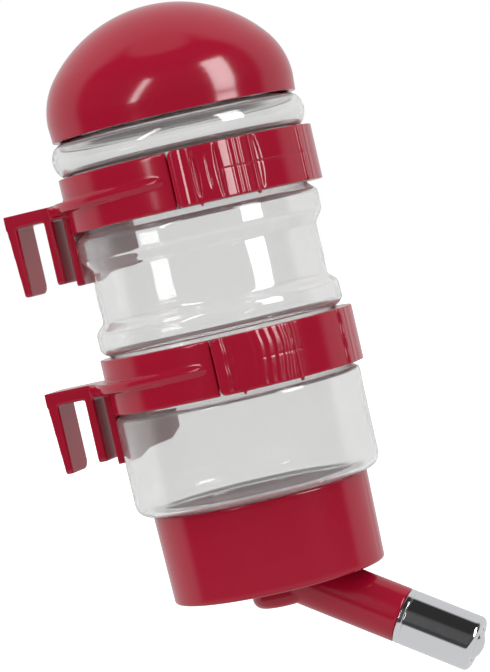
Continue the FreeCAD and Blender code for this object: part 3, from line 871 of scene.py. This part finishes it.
def studio_world(azimuth):
    """World: for the light that soaks into surfaces, brighter from above and from behind the object; for reflections, a
    dark room with a bright wall behind the object, a bright ceiling and a pale floor; white to sight."""
    world = bpy.data.worlds.new("studio")
    world.use_nodes = True
    world.cycles.sampling_method = "NONE"
    bpy.context.scene.world = world
    tree = world.node_tree
    background = tree.nodes["Background"]
    ray = tree.nodes.new("ShaderNodeTexCoord").outputs["Generated"]
    away = tree.nodes.new("ShaderNodeVectorMath")
    away.operation = "DOT_PRODUCT"
    tree.links.new(ray, away.inputs[0])
    away.inputs[1].default_value = (-math.sin(azimuth), math.cos(azimuth), 0.0)
    axes = tree.nodes.new("ShaderNodeSeparateXYZ")
    tree.links.new(ray, axes.inputs[0])
    up = axes.outputs["Z"]
    before = by_height(tree, up, [(-1.0, 0.68), (-0.22, 0.68), (-0.14, 0.05), (0.04, 0.05), (0.1, 0.08), (0.6, 0.08),
                                  (0.7, 0.03), (0.94, 0.03), (0.97, 0.6), (1.0, 0.6)])
    behind = ramp(tree, away.outputs["Value"], -0.02, 0.2, 0.68)
    mirrored = math_node(tree, "MAXIMUM", behind, before)
    climbing = by_height(tree, up, [(-1.0, 0.6), (-0.3, 0.76), (0.0, 0.88), (0.5, 1.12), (1.0, 1.3)])
    soaked = math_node(tree, "ADD", climbing, ramp(tree, away.outputs["Value"], -0.1, 0.4, 0.3))
    path = tree.nodes.new("ShaderNodeLightPath")
    scattered = math_node(tree, "MINIMUM", path.outputs["Diffuse Depth"], 1.0)
    felt = mixed(tree, scattered, mirrored, soaked)
    ahead = ramp(tree, away.outputs["Value"], 0.0, 0.2, 1.0)
    onward = math_node(tree, "MULTIPLY", path.outputs["Is Transmission Ray"], ahead)
    sight = math_node(tree, "MAXIMUM", path.outputs["Is Camera Ray"], onward)
    tree.links.new(mixed(tree, sight, felt, 1.0), background.inputs["Color"])


def ramp(tree, value, start, end, height):
    """Smooth step of a height between two values."""
    node = tree.nodes.new("ShaderNodeMapRange")
    node.interpolation_type = "SMOOTHSTEP"
    tree.links.new(value, node.inputs["Value"])
    for label, number in (("From Min", start), ("From Max", end), ("To Min", 0.0), ("To Max", height)):
        node.inputs[label].default_value = number
    return node.outputs["Result"]


def softbox(name, azimuth, elevation, width, height, lean, watts):
    """Soft rectangular light that looks at the bottle and only makes highlights; it leans about its own axis."""
    target = AXIS + Vector((0, 0, 0.09))
    flat = math.cos(elevation)
    back = Vector((math.sin(azimuth) * flat, -math.cos(azimuth) * flat, math.sin(elevation)))
    light = bpy.data.lights.new(name, "AREA")
    light.shape, light.size, light.size_y, light.energy = "RECTANGLE", width, height, watts
    obj = bpy.data.objects.new(name, light)
    bpy.context.scene.collection.objects.link(obj)
    obj.location = target + back * SOFTBOX_DISTANCE
    obj.rotation_mode = "QUATERNION"
    obj.rotation_quaternion = (-back).to_track_quat("-Z", "Y") @ Quaternion((0, 0, 1), -lean)
    obj.visible_camera = obj.visible_diffuse = False


def studio_floor(drop):
    """Wide pale floor below the hanging bottle, seen but not mirrored."""
    a = np.linspace(0, 2 * math.pi, 64, endpoint=False)[:, None]
    r = np.linspace(0.001, 30.0, 24)[None, :]
    low = CAD_BOX[0].z - drop
    grid = np.stack([AXIS.x + r * np.cos(a), r * np.sin(a), low + 0 * r * a], axis=-1)
    i, j = np.meshgrid(np.arange(64), np.arange(23), indexing="ij")
    k = (i + 1) % 64
    quads = np.stack([i * 24 + j, i * 24 + j + 1, k * 24 + j + 1, k * 24 + j], axis=-1).reshape(-1, 4)
    mesh = bpy.data.meshes.new("floor")
    mesh.from_pydata(grid.reshape(-1, 3).tolist(), [], quads.tolist())
    material = bpy.data.materials.new("pale floor")
    material.use_nodes = True
    shader = material.node_tree.nodes["Principled BSDF"]
    for label, value in (("Base Color", (0.5, 0.5, 0.5, 1)), ("Roughness", 0.9), ("Emission Color", (1, 1, 1, 1)),
                         ("Emission Strength", 0.8)):
        shader.inputs[label].default_value = value
    mesh.materials.append(material)
    floor = bpy.data.objects.new("floor", mesh)
    bpy.context.scene.collection.objects.link(floor)
    floor.visible_glossy = floor.visible_diffuse = floor.visible_transmission = floor.visible_shadow = False


class BOTTLE_OT_studio(bpy.types.Operator):
    """Pale floor, two softboxes, studio world and the camera"""

    bl_idname = "drinking_bottle.studio"
    bl_label = "Studio"

    def execute(self, context):
        s = context.scene.stage_settings
        studio_world(s.azimuth)
        studio_floor(s.floor_drop)
        softbox("right softbox", s.azimuth + math.radians(52), SOFTBOX_ELEVATION, 0.61, 1.23, 0.0, s.right_box)
        softbox("left strip", s.azimuth - math.radians(26.5), SOFTBOX_ELEVATION, 0.16, 1.0, math.radians(28.5),
                s.left_strip)
        right = Vector((math.cos(s.azimuth), math.sin(s.azimuth), 0))
        back = Vector((math.sin(s.azimuth), -math.cos(s.azimuth), 0))
        camera = bpy.data.objects.new("camera", bpy.data.cameras.new("camera"))
        context.scene.collection.objects.link(camera)
        camera.location = AXIS + back * s.distance + Vector((0, 0, s.height))
        aim = AXIS + right * s.aim_side + Vector((0, 0, s.aim_height))
        camera.rotation_mode = "QUATERNION"
        look = (aim - camera.location).to_track_quat("-Z", "Y")
        camera.rotation_quaternion = look @ Quaternion((0, 0, 1), s.roll)
        camera.data.lens = s.lens
        camera.data.sensor_width = 36.0
        camera.data.clip_start, camera.data.clip_end = 0.05, 100.0
        context.scene.camera = camera
        context.scene.view_settings.view_transform = "Standard"
        return {"FINISHED"}


class BOTTLE_PT_panel(bpy.types.Panel):
    """Lists the bottle's sizes, finishes and pieces"""

    bl_idname = "BOTTLE_PT_panel"
    bl_label = "Drinking Bottle"
    bl_space_type = "VIEW_3D"
    bl_region_type = "UI"
    bl_category = "Drinking Bottle"

    def draw(self, context):
        for settings in ("bottle_sizes", "clamp_sizes", "finishes", "stage_settings"):
            box = self.layout.box()
            group = getattr(context.scene, settings)
            for label in group.bl_rna.properties.keys():
                if label not in ("rna_type", "name"):
                    box.prop(group, label)
        for operator in OPERATORS:
            self.layout.operator(operator.bl_idname)


OPERATORS = (BOTTLE_OT_clear_bottle, BOTTLE_OT_dome_cap, BOTTLE_OT_base_cap, BOTTLE_OT_nozzle, BOTTLE_OT_clamp_frames,
             BOTTLE_OT_clamp_straps, BOTTLE_OT_inner_fittings, BOTTLE_OT_studio)
SETTINGS = {"bottle_sizes": BottleSizes, "clamp_sizes": ClampSizes, "finishes": Finishes,
            "stage_settings": StageSettings}


def register():
    for kind in (*SETTINGS.values(), *OPERATORS, BOTTLE_PT_panel):
        bpy.utils.register_class(kind)
    for label, kind in SETTINGS.items():
        setattr(bpy.types.Scene, label, PointerProperty(type=kind))


def unregister():
    for label in SETTINGS:
        delattr(bpy.types.Scene, label)
    for kind in reversed((*SETTINGS.values(), *OPERATORS, BOTTLE_PT_panel)):
        bpy.utils.unregister_class(kind)


def main():
    register()
    bpy.ops.drinking_bottle.clear_bottle()
    bpy.ops.drinking_bottle.dome_cap()
    bpy.ops.drinking_bottle.base_cap()
    bpy.ops.drinking_bottle.nozzle()
    bpy.ops.drinking_bottle.clamp_frames()
    bpy.ops.drinking_bottle.clamp_straps()
    bpy.ops.drinking_bottle.inner_fittings()
    bpy.ops.drinking_bottle.studio()


if __name__ == "__main__":
    main()
